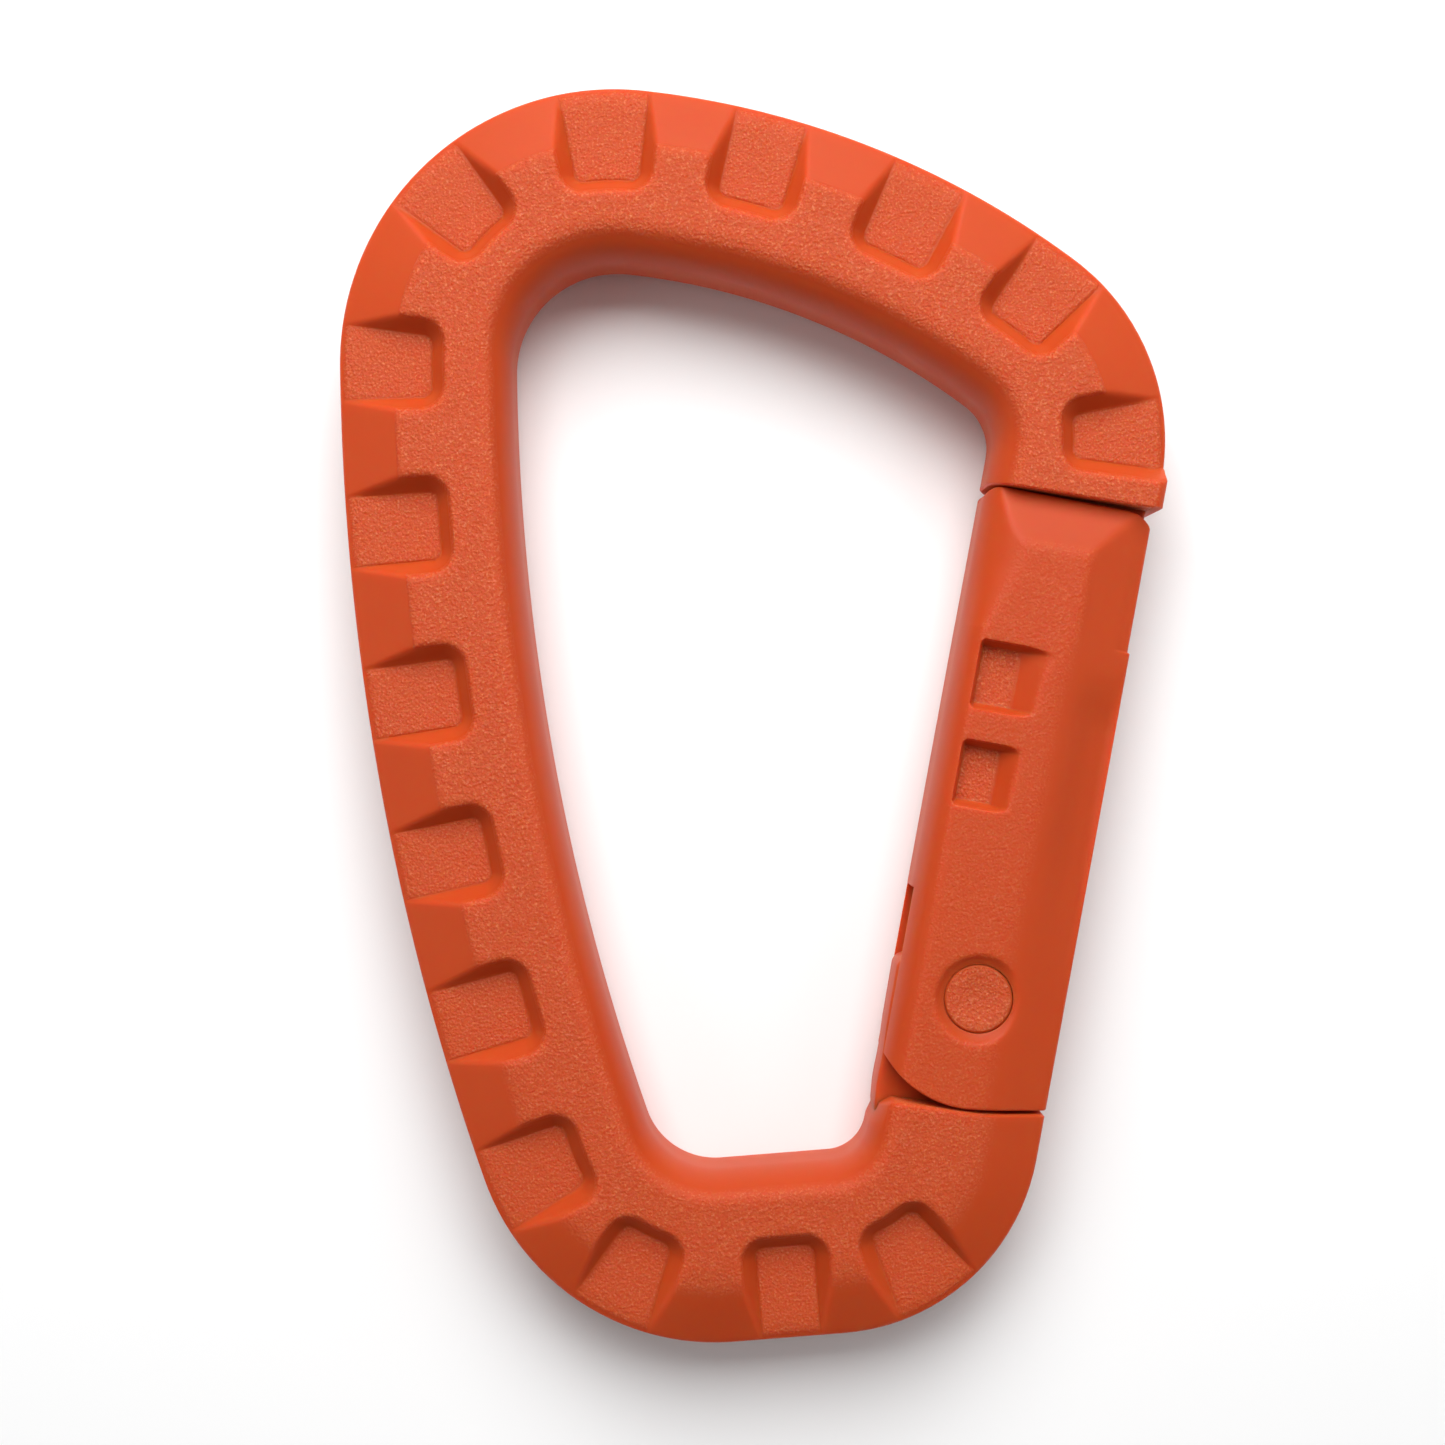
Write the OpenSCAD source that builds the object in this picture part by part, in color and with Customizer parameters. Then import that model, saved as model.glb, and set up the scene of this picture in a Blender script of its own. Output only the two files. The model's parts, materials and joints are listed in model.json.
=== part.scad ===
// Moulded carabiner keyring, lying flat: a C-shaped frame, a hollow gate that
// swings inwards on a pin, and the coil spring that closes it.
// +X is the gate side, +Y the wide end, +Z up; the frame's underside is at z = 0.

/* [Body] */
// Thickness of the frame and the gate
thickness = 9.6; // [9.2:0.1:10.4]
// Width of the bar, from its inner edge to its outer edge
bar_w = 11.6; // [11.4:0.1:11.9]
// Height of the bar's outer edge, below both outer bevels
outer_edge_h = 6.2; // [5.8:0.1:6.6]
// Height of the bar's inner edge, below both inner flanks
inner_edge_h = 4.4; // [4.0:0.1:4.8]
// Width of the textured flat along the bar
flat_w = 5.6; // [5.2:0.1:6.0]
// How far the flat's outer side lies outside the bar's centre line
flat_out = 1.5; // [1.1:0.1:1.9]

/* [Loop] */
// Centre line radius of the top left bend
bend_tl = 12.8; // [12.5:0.1:13.1]
// Centre line radius of the top right bend
bend_tr = 9.5; // [9.3:0.1:9.7]
// Centre line radius of the bottom right bend
bend_br = 8.6; // [8.4:0.1:8.8]
// Centre line radius of the bottom left bend
bend_bl = 10.8; // [10.6:0.1:11.0]
// Centre line radius of the bowed top bar
bow_top = 54; // [50:1:60]
// Centre line radius of the bowed back bar
bow_back = 167; // [150:1:200]

/* [Pockets] */
// Depth of the pockets below the flat
pocket_depth = 1.6; // [1.2:0.1:1.8]
// Width of a pocket's floor at its inner end
pocket_in_w = 4.2; // [3.8:0.1:4.6]
// Width of a pocket's floor at the outer edge
pocket_out_w = 5.2; // [4.8:0.1:5.6]
// Slope of the pockets' walls, sideways for each unit of height
pocket_draft = 0.58; // [0.4:0.02:0.7]

/* [Gate] */
// Distance from the pivot to the gate's top
gate_len = 34.0; // [33.8:0.1:34.1]
// Radius of the gate's lower end about the pivot
gate_heel_r = 7.4; // [7.2:0.05:7.5]
// Thickness of the gate's two cheeks
cheek_t = 2.3; // [2.1:0.1:2.4]
// Length of the slot that lets the nose out, on the gate's outer side
nose_slot_len = 9.3; // [9.0:0.1:9.6]
// Radius of the pivot pin
pin_r = 2.3; // [2.1:0.05:2.4]
// Radius of the shallow dish round each end of the pin
dish_r = 3.0; // [2.9:0.1:3.3]

/* [Spring] */
// Wire diameter of the closing spring
wire_d = 0.5; // [0.4:0.05:0.55]
// Outside diameter of the closing spring
spring_d = 3.0; // [2.8:0.1:3.0]
// Number of turns
spring_turns = 8; // [6:1:9]

/* [Hidden] */

half_t = thickness / 2;
// How far a cut runs past a face
past = 1;
// Bows and straights run this far into the bends, and are this much slimmer all round
lap = 0.3;
slim = 0.02;

// Bend centres, clockwise from the top left
c_tl = [-9.5, 23.85];
c_tr = [12.6, 18.6];
c_br = [5.0, -27.6];
c_bl = [-2.65, -26.0];

// Centre of the arc of radius R that joins bend A to bend B, going clockwise
function bow_centre(A, ra, B, rb, R) =
    let (d = norm(B - A), e = (B - A) / d, da = R - ra, db = R - rb)
    let (a = (da * da - db * db + d * d) / (2 * d))
    A + a * e + sqrt(da * da - a * a) * [e[1], -e[0]];

// Outward direction of the straight line that joins bend A to bend B
function line_normal(A, ra, B, rb) =
    let (d = norm(B - A), e = (B - A) / d, s = (ra - rb) / d)
    sqrt(1 - s * s) * [-e[1], e[0]] + s * e;

function heading(v) = atan2(v[1], v[0]);
function along(a) = [cos(a), sin(a)];
function below(a, top) = a > top ? a - 360 : a;

o_top = bow_centre(c_tl, bend_tl, c_tr, bend_tr, bow_top);
o_back = bow_centre(c_bl, bend_bl, c_tl, bend_tl, bow_back);
n_gate = line_normal(c_tr, bend_tr, c_br, bend_br);
n_foot = line_normal(c_br, bend_br, c_bl, bend_bl);

// Headings at which one stretch of the loop meets the next, clockwise
a_back = 360 + heading(c_tl - o_back);
a_top0 = heading(c_tl - o_top);
a_top1 = heading(c_tr - o_top);
a_gate = heading(n_gate);
a_foot = heading(n_foot);
a_left = heading(c_bl - o_back);

// The bends, then the bows, as [centre, radius, first heading, last heading]
bends = [
    [c_tl, bend_tl, a_back, a_top0],
    [c_tr, bend_tr, a_top1, a_gate],
    [c_br, bend_br, a_gate, a_foot],
    [c_bl, bend_bl, a_foot, below(a_left, a_foot)]
];
bows = [
    [o_top, bow_top, a_top0, a_top1],
    [o_back, bow_back, below(a_left, a_foot), a_back - 360]
];
arcs = concat(bends, bows);

// The gate's own axes: v runs up the gate from the pivot, u points outwards
pivot = [15.05, -19.1];
lean = -a_gate;
band_u = bend_tr - (pivot - c_tr) * n_gate;
foot_v = (c_br - pivot) * along(a_gate + 90);
shoulder_v = (c_tr - pivot) * along(a_gate + 90);

// Nose, shoulder and tongue, all in the gate's axes
nose_v = gate_len + 0.42;
nose_rise = 0.02;
flange_h = 1.7;
flange_out = 0.15;
cavity_h = thickness - 2 * cheek_t;
blade_gap = 0.3;
blade_t = cavity_h - 2 * blade_gap;

// Running clearance of the gate on the pin, and how far the pin squeezes into its blade
pin_play = 0.05;
pin_squeeze = 0.02;
// How far each end of the pin lies below the gate's face
pin_sink = 0.5;

// Where the closing spring stands on the blade, and where it pushes on the gate
ledge = [-3.5, 3.5];
seat = [-2.7, 13.8];

// Pockets: which of the arcs each lies on, and its heading
pocket_at = [
    [0, 135], [0, 92], [4, 75.2], [4, 64.2], [4, 53.9], [1, 1.4],
    [5, -179.2], [5, -175.5], [5, -171.6], [5, -167.9], [5, -164.2],
    [3, -159], [3, -116], [2, -57.5]
];
foot_pocket_at = 0.52;

// Upper half of the bar's section, made smaller all round by the given amount
function half_section(less) =
    let (w = bar_w / 2 - less, t = half_t - less)
    [
        [w, 0], [w, outer_edge_h / 2 - 0.4], [w - 0.4, outer_edge_h / 2],
        [flat_out - less, t], [flat_out - flat_w + less, t],
        [-w + 0.6, t - 1.1], [-w, inner_edge_h / 2], [-w, 0]
    ];

module bar_section(less = 0) {
    upper = half_section(less);
    lower = [for (i = [len(upper) - 2:-1:1]) [upper[i][0], -upper[i][1]]];
    polygon(concat(upper, lower));
}

// A stretch of bar along a bend or a bow
module bar_arc(arc, run_on = 0, less = 0) {
    run_angle = run_on / arc[1] * 180 / PI;
    translate([arc[0][0], arc[0][1], 0])
        rotate(arc[3] - run_angle)
            rotate_extrude(angle = arc[2] - arc[3] + 2 * run_angle, $fn = 180)
                translate([arc[1], 0])
                    bar_section(less);
}

// Puts its children in the gate's axes
module at_gate() {
    translate([pivot[0], pivot[1], 0]) rotate(a_gate) children();
}

// A straight stretch of bar along v in the gate's axes
module bar_along_v(v0, v1, less = 0) {
    translate([band_u, v1, 0])
        rotate([90, 0, 0])
            linear_extrude(v1 - v0)
                bar_section(less);
}

// The straight foot of the loop
module bar_foot() {
    foot_from = c_bl + bend_bl * n_foot;
    foot_len = norm(c_br + bend_br * n_foot - foot_from);
    translate([foot_from[0], foot_from[1], 0])
        rotate(a_foot + 90)
            rotate([90, 0, 90])
                translate([0, 0, -lap])
                    linear_extrude(foot_len + 2 * lap)
                        mirror([1, 0])
                            bar_section(slim);
}

// Plan shape given in the gate's axes, cut or filled over the height h
module slab(h, points) {
    translate([0, 0, -h / 2]) linear_extrude(h) polygon(points);
}

// One pocket, open at the outer edge: x points outwards, y runs along the bar
module pocket() {
    floor_z = half_t - pocket_depth;
    top_z = half_t + 0.4;
    spread = pocket_draft * (top_z - floor_z);
    x0 = -0.5;
    x1 = bar_w / 2 + past;
    y0 = pocket_in_w / 2;
    y1 = pocket_out_w / 2;
    widen = (y1 - y0) / (x1 - x0) * spread;
    polyhedron(
        points = [
            [x0, -y0, floor_z], [x1, -y1, floor_z], [x1, y1, floor_z], [x0, y0, floor_z],
            [x0 - spread, widen - y0 - spread, top_z], [x1, -y1 - spread, top_z],
            [x1, y1 + spread, top_z], [x0 - spread, y0 - widen + spread, top_z]
        ],
        faces = [[0, 1, 2, 3], [7, 6, 5, 4], [4, 5, 1, 0], [5, 6, 2, 1], [6, 7, 3, 2], [7, 4, 0, 3]]
    );
}

module both_faces() {
    children();
    mirror([0, 0, 1]) children();
}

// All fifteen pockets of one face
module pockets() {
    for (p = pocket_at)
        translate([arcs[p[0]][0][0], arcs[p[0]][0][1], 0])
            rotate(p[1])
                translate([arcs[p[0]][1], 0, 0])
                    pocket();
    foot_mid = (1 - foot_pocket_at) * c_bl + foot_pocket_at * c_br
        + ((1 - foot_pocket_at) * bend_bl + foot_pocket_at * bend_br) * n_foot;
    translate([foot_mid[0], foot_mid[1], 0]) rotate(a_foot) pocket();
}

// The whole loop before it is opened for the gate
module open_bar() {
    difference() {
        union() {
            for (bend = bends) bar_arc(bend);
            for (bow = bows) bar_arc(bow, lap, slim);
            bar_foot();
            at_gate() bar_along_v(nose_v - 0.4, shoulder_v + lap, slim);
            at_gate() bar_along_v(foot_v - lap, -7, slim);
        }
        at_gate() slab(thickness + 2 * past, [
            [-9, nose_v - 9 * nose_rise], [9, nose_v + 9 * nose_rise],
            [9, -7.0], [5.6, -7.06], [1.7, -7.52], [-5.0, -7.8], [-9, -7.8]
        ]);
    }
}

// Thin blade on the nose: the gate closes over it
module nose_blade() {
    slab(blade_t, [
        [-4.75, nose_v + 1], [-4.75, 27], [-3.9, 26.1], [4.6, 26.1], [5.5, 27], [5.5, nose_v + 1]
    ]);
}

// Blade that carries the pin, with the spring's ledge on its inner side
module foot_blade() {
    eye_r = 3.6;
    difference() {
        union() {
            translate([0, 0, -blade_t / 2]) cylinder(r = eye_r, h = blade_t, $fn = 96);
            slab(blade_t, [
                [-5.75, 0.7], [-5.1, 1.7], [-1.4, 2.3], [0, 0], [eye_r, 0],
                [eye_r, -9.5], [-4.7, -9.5], [-4.95, -6.5]
            ]);
            spring_ledge();
        }
        translate([0, 0, -thickness]) cylinder(r = pin_r - pin_squeeze, h = 2 * thickness, $fn = 96);
    }
}

// Sloping ledge that the spring stands on
module spring_ledge() {
    translate([ledge[0], ledge[1], 0])
        rotate(heading(seat - ledge) - 90)
            slab(blade_t, [[-1.6, 0], [1.6, 0], [2.2, -2.6], [-2.2, -2.6]]);
}

module frame() {
    color("#E0552D")
        translate([0, 0, half_t]) {
            difference() {
                union() {
                    open_bar();
                    at_gate() slab(thickness - 0.2, [
                        [1, nose_v + nose_rise], [bar_w / 2 + band_u + flange_out, nose_v + 0.12],
                        [bar_w / 2 + band_u + flange_out, nose_v + flange_h], [1, nose_v + flange_h]
                    ]);
                }
                both_faces() pockets();
            }
            at_gate() nose_blade();
            at_gate() foot_blade();
        }
}

// Outline of the gate in plan, in its own axes, with its heel rounded about the pivot
module gate_plan() {
    side_out = bar_w / 2 + band_u;
    side_in = band_u - bar_w / 2;
    heel_u = 0.9;
    difference() {
        polygon([
            [side_in, -9], [side_in, gate_len - 1], [side_in + 0.7, gate_len - 0.1],
            [4.4, gate_len + 0.1], [side_out - 0.2, gate_len - 0.9], [side_out, gate_len - 2],
            [side_out, -6.8], [heel_u, -7.36], [heel_u, -9]
        ]);
        difference() {
            translate([side_in - past, -9 - past]) square([heel_u + past - side_in, 9 + past]);
            circle(r = gate_heel_r, $fn = 120);
        }
    }
}

// Shallow window moulded into the gate's face: level floor, and a side sloping outwards over that width
module window(v0, slope_w) {
    window_len = 3.8;
    floor_z = half_t - 1.4;
    top_z = half_t + 0.4;
    u_in = -4.0;
    u_mid = -1.6;
    flare = 0.5;
    polyhedron(
        points = [
            [u_in, v0, floor_z], [u_mid, v0, floor_z],
            [u_mid, v0 + window_len, floor_z], [u_in, v0 + window_len, floor_z],
            [u_in - 0.2, v0 - flare, top_z], [u_mid + slope_w, v0 - flare, top_z],
            [u_mid + slope_w, v0 + window_len + flare, top_z], [u_in - 0.2, v0 + window_len + flare, top_z]
        ],
        faces = [[0, 1, 2, 3], [7, 6, 5, 4], [4, 5, 1, 0], [5, 6, 2, 1], [6, 7, 3, 2], [7, 4, 0, 3]]
    );
}

// Wedge that bevels the gate's top end
module top_bevel() {
    translate([-9, 0, 0])
        rotate([90, 0, 90])
            linear_extrude(18)
                polygon([[gate_len - 3.6, half_t], [gate_len + 2, half_t - 2.6], [gate_len + 2, half_t + 1]]);
}

// Everything that is hollow in the gate
module gate_hollow() {
    wall_in = -5.0;
    wall_out = 4.1;
    spring_room_top = 13.8;
    inner_wall_from = 6.5;
    // Between the cheeks, from the heel to the spring's seat
    slab(cavity_h, [
        [-9, -10], [wall_out, -10], [wall_out, 22.4], [0.4, 22.4], [0.4, spring_room_top],
        [wall_in, spring_room_top + 0.1], [wall_in, inner_wall_from], [-9, inner_wall_from]
    ]);
    // Room for the nose, open at the top and on the outer side
    slab(cavity_h, [
        [wall_in, gate_len + 2], [wall_in, gate_len - nose_slot_len], [9, gate_len - nose_slot_len],
        [9, gate_len + 2]
    ]);
}

module gate() {
    dish_depth = 0.35;
    color("#E2582F")
        translate([0, 0, half_t])
            at_gate()
                difference() {
                    intersection() {
                        bar_along_v(-9, gate_len + 1);
                        translate([0, 0, -half_t - past])
                            linear_extrude(thickness + 2 * past)
                                gate_plan();
                    }
                    gate_hollow();
                    both_faces() {
                        window(13.0, 1.6);
                        window(19.6, 2.3);
                        top_bevel();
                        translate([0, 0, half_t - dish_depth]) cylinder(r = dish_r, h = past, $fn = 96);
                    }
                    translate([0, 0, -thickness]) cylinder(r = pin_r + pin_play, h = 2 * thickness, $fn = 96);
                }
}

module pivot_pin() {
    pin_len = thickness - 2 * pin_sink;
    color("#DC5029")
        translate([pivot[0], pivot[1], (thickness - pin_len) / 2])
            cylinder(r = pin_r, h = pin_len, $fn = 96);
}

// The wire has this many sides, and its coil this many steps a turn
sides = 8;
steps = 14;
ring_count = spring_turns * steps;
end_gap = 0.05;
rise = norm(seat - ledge) - wire_d - 2 * end_gap;
// Share of the wire in each closed end, where the pitch is half the mean pitch
closed = 0.12;
open_pitch = (1 - closed) / (1 - 2 * closed);
function lift(f) =
    f < closed ? f / 2 : (f > 1 - closed ? 1 - (1 - f) / 2 : closed / 2 + (f - closed) * open_pitch);
// Angle and height of the wire's centre at ring i
function wire_at(i) = [360 * i / steps, wire_d / 2 + end_gap + rise * lift(i / ring_count)];
coil_r = (spring_d - wire_d) / 2;
wire_points = [
    for (i = [0:ring_count])
        for (j = [0:sides - 1])
            let (w = wire_at(i), b = 360 * j / sides, r = coil_r + wire_d / 2 * cos(b))
            [r * cos(w[0]), r * sin(w[0]), w[1] + wire_d / 2 * sin(b)]
];
wire_faces = concat(
    [[for (j = [sides - 1:-1:0]) j]],
    [for (i = [0:ring_count - 1])
        for (j = [0:sides - 1])
            let (k = (j + 1) % sides)
            [i * sides + j, i * sides + k, (i + 1) * sides + k, (i + 1) * sides + j]],
    [[for (j = [0:sides - 1]) ring_count * sides + j]]
);

module gate_spring() {
    color("#B9BCC0")
        translate([0, 0, half_t])
            at_gate()
                translate([ledge[0], ledge[1], 0])
                    rotate(heading(seat - ledge) - 90)
                        rotate([-90, 0, 0])
                            polyhedron(points = wire_points, faces = wire_faces);
}

frame();
gate();
pivot_pin();
gate_spring();
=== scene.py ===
"""Looks of the moulded carabiner keyring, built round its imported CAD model.

Lengths are worked out in millimetres, in the CAD's own frame, and are written to Blender in metres.
"""
import json
import math

import bpy
import numpy as np
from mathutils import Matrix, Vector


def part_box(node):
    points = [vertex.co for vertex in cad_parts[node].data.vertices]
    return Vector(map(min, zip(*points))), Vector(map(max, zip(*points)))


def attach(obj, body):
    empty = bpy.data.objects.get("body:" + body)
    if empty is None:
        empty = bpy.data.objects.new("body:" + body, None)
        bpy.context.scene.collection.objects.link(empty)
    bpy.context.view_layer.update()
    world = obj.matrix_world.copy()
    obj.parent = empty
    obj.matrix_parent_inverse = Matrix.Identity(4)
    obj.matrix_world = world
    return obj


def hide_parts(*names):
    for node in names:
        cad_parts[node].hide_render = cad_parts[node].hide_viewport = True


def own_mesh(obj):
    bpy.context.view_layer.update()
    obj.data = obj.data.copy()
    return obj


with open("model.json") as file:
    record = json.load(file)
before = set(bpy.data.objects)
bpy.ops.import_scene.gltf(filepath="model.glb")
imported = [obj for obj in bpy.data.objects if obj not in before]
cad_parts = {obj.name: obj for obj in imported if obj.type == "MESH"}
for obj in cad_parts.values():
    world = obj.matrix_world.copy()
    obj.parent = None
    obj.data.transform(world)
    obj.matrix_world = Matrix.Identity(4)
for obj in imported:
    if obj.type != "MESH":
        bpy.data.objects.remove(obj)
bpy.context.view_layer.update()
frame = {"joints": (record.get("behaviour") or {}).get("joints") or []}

# ---------------------------------------------------------------------------------------------
# Frame moulding: the C-shaped bar of the loop, its nose blade and its foot blade, one shot of
# orange acetal. The bar was swept round four bends; fifteen pockets a face save material and grip.
# ---------------------------------------------------------------------------------------------
MM = 0.001

low_corner, high_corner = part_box("frame")
turn = 2 * math.pi
mid_z = (low_corner[2] + high_corner[2]) / 2 / MM
half_t = (high_corner[2] - low_corner[2]) / 2 / MM
half_w = 5.8

hinge = next(j for j in frame["joints"] if j["name"] == "gate_hinge")
pivot = np.array(hinge["pos_m"][:2]) / MM

bend_tl = (np.array([-9.5, 23.85]), 12.8)
bend_tr = (np.array([12.6, 18.6]), 9.5)
bend_br = (np.array([5.0, -27.6]), 8.6)
bend_bl = (np.array([-2.65, -26.0]), 10.8)
bow_top_r = 54.0
bow_back_r = 167.0


def bow_centre(bend_a, bend_b, radius):
    """Centre of the arc of that radius that holds both bends inside and touches them, going clockwise:
    it is radius - r away from each bend's centre, on the loop's inner side."""
    (a, ra), (b, rb) = bend_a, bend_b
    gap = np.linalg.norm(b - a)
    ahead = (b - a) / gap
    along = ((radius - ra) ** 2 - (radius - rb) ** 2 + gap ** 2) / (2 * gap)
    aside = math.sqrt((radius - ra) ** 2 - along ** 2)
    return a + along * ahead + aside * np.array([ahead[1], -ahead[0]])


def line_heading(bend_a, bend_b):
    """Heading of the outward normal of the straight line that touches both bends, going clockwise."""
    (a, ra), (b, rb) = bend_a, bend_b
    gap = np.linalg.norm(b - a)
    ahead = (b - a) / gap
    tilt = (ra - rb) / gap
    normal = math.sqrt(1 - tilt ** 2) * np.array([-ahead[1], ahead[0]]) + tilt * ahead
    return math.atan2(normal[1], normal[0])


def heading_after(last, vector):
    """Heading of a vector, in the whole turn that ends at the last heading: they fall going clockwise."""
    return last - (last - math.atan2(vector[1], vector[0])) % turn


top_centre = bow_centre(bend_tl, bend_tr, bow_top_r)
back_centre = bow_centre(bend_bl, bend_tl, bow_back_r)
gate_heading = line_heading(bend_tr, bend_br)
foot_heading = line_heading(bend_br, bend_bl)

# The gate's own axes: u points outwards from the pivot, v runs up the gate
axis_u = np.array([math.cos(gate_heading), math.sin(gate_heading)])
axis_v = np.array([-axis_u[1], axis_u[0]])
bar_u = bend_tr[1] - (pivot - bend_tr[0]) @ axis_u
foot_v = (bend_br[0] - pivot) @ axis_v
nose_bend_v = (bend_tr[0] - pivot) @ axis_v
nose_v = 34.42
shoulder_v = -7.5

# Stretches of the centre line, clockwise from the shoulder to the nose: (centre, radius, headings)
back_low = heading_after(foot_heading, bend_bl[0] - back_centre)
back_high = heading_after(back_low, bend_tl[0] - back_centre)
top_left = heading_after(back_high, bend_tl[0] - top_centre)
top_right = heading_after(top_left, bend_tr[0] - top_centre)
arcs = [
    (bend_br[0], bend_br[1], gate_heading, foot_heading),
    (bend_bl[0], bend_bl[1], foot_heading, back_low),
    (back_centre, bow_back_r, back_low, back_high),
    (bend_tl[0], bend_tl[1], back_high, top_left),
    (top_centre, bow_top_r, top_left, top_right),
    (bend_tr[0], bend_tr[1], top_right, gate_heading - turn),
]
foot_start = bend_br[0] + bend_br[1] * np.array([math.cos(foot_heading), math.sin(foot_heading)])
foot_end = bend_bl[0] + bend_bl[1] * np.array([math.cos(foot_heading), math.sin(foot_heading)])
foot_len = np.linalg.norm(foot_end - foot_start)
low_len = shoulder_v - foot_v
high_len = nose_bend_v - nose_v
arc_len = [radius * (h0 - h1) for _, radius, h0, h1 in arcs]
lengths = [low_len, arc_len[0], foot_len] + arc_len[1:] + [high_len]
starts = np.concatenate([[0.0], np.cumsum(lengths)])
bar_len = starts[-1]
foot_stretch = 2
arc_at = {1: 0, 3: 1, 4: 2, 5: 3, 6: 4, 7: 5}


def centre_line(s):
    """Point, outward normal and its heading on the bar's centre line at distance s from the shoulder.
    Each stretch is a straight line, or an arc: centre + radius * (cos h, sin h), h falling as s grows."""
    point = np.zeros(s.shape + (2,))
    turned = np.zeros(s.shape)
    stretch = np.clip(np.searchsorted(starts, s, side="right") - 1, 0, len(lengths) - 1)
    for k in range(len(lengths)):
        here = stretch == k
        run = s[here] - starts[k]
        if k in arc_at:
            centre, radius, h0, _ = arcs[arc_at[k]]
            turned[here] = h0 - run / radius
            point[here] = centre + radius * np.stack([np.cos(turned[here]), np.sin(turned[here])], -1)
            continue
        if k == foot_stretch:
            turned[here] = foot_heading
            point[here] = foot_start + run[:, None] * (foot_end - foot_start) / foot_len
            continue
        turned[here] = gate_heading if k == 0 else gate_heading - turn
        v = shoulder_v - run if k == 0 else nose_bend_v - run
        point[here] = pivot + bar_u * axis_u + v[:, None] * axis_v
    normal = np.stack([np.cos(turned), np.sin(turned)], -1)
    return point, normal, turned


def distance_at(heading_deg):
    """Distance along the bar at which its outward normal has this clockwise heading, in degrees."""
    target = math.radians(heading_deg)
    for k, arc in arc_at.items():
        _, radius, h0, h1 = arcs[arc]
        if h1 <= target <= h0:
            return starts[k] + radius * (h0 - target)
    raise ValueError("no such heading on the bar")


# Pockets, clockwise from the shoulder: distance along the bar and width of the floor
pocket_headings = [
    (-57.5, 3.6), (-116, 3.6), (-159, 4.4), (-164.2, 4.6), (-167.9, 4.4), (-171.6, 4.6), (-175.5, 4.6),
    (-179.2, 4.1), (-225, 4.0), (-268, 4.4), (-284.8, 4.4), (-295.8, 4.6), (-306.1, 4.2), (-358.6, 3.0),
]
pockets = [(distance_at(h), w) for h, w in pocket_headings]
pockets.append((starts[foot_stretch] + 0.48 * foot_len, 4.0))
pockets.sort()
pocket_depth = 1.6
pocket_inner = -0.5
pocket_corner = 0.7
wall_slope = 1.65
flange_from = pockets[-1][0] + pockets[-1][1] / 2


def soft_min(a, b, blend):
    """Smaller of two heights, with the corner between them rounded over the blend height."""
    mix = np.clip(0.5 + 0.5 * (b - a) / blend, 0, 1)
    return b + (a - b) * mix - blend * mix * (1 - mix)


def step_up(x, low, high):
    """0 below low, 1 above high, and a smooth 3t^2 - 2t^3 between them."""
    t = np.clip((x - low) / (high - low), 0, 1)
    return t * t * (3 - 2 * t)


# Rows of the section's upper half, from the parting line at the outer edge to that at the inner edge
edge_round = 0.4
edge_z = 2.75
edge_turn_deg = 66.8
bevel_slope = 0.43
bevel_at = (5.558, 3.118)
lip_round = 0.6
lip_top = 4.75
round_rows = np.linspace(0, math.radians(edge_turn_deg), 6)
wall_z = [0.0, 0.9, 1.8, 2.5]
outer_n = np.concatenate([np.full(4, half_w), half_w - edge_round + edge_round * np.cos(round_rows)])
outer_z = np.concatenate([wall_z, edge_z + edge_round * np.sin(round_rows)])
top_n = np.concatenate([
    np.linspace(5.3, 2.1, 12), np.linspace(1.9, 1.3, 5), np.linspace(1.05, 0.1, 4),
    np.linspace(-0.05, -1.75, 13),
])
flat_rows = np.linspace(0.15, 1.0, 7)
flank_rows = np.radians(np.linspace(6, 90, 14))
inner_land = 1.4


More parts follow.
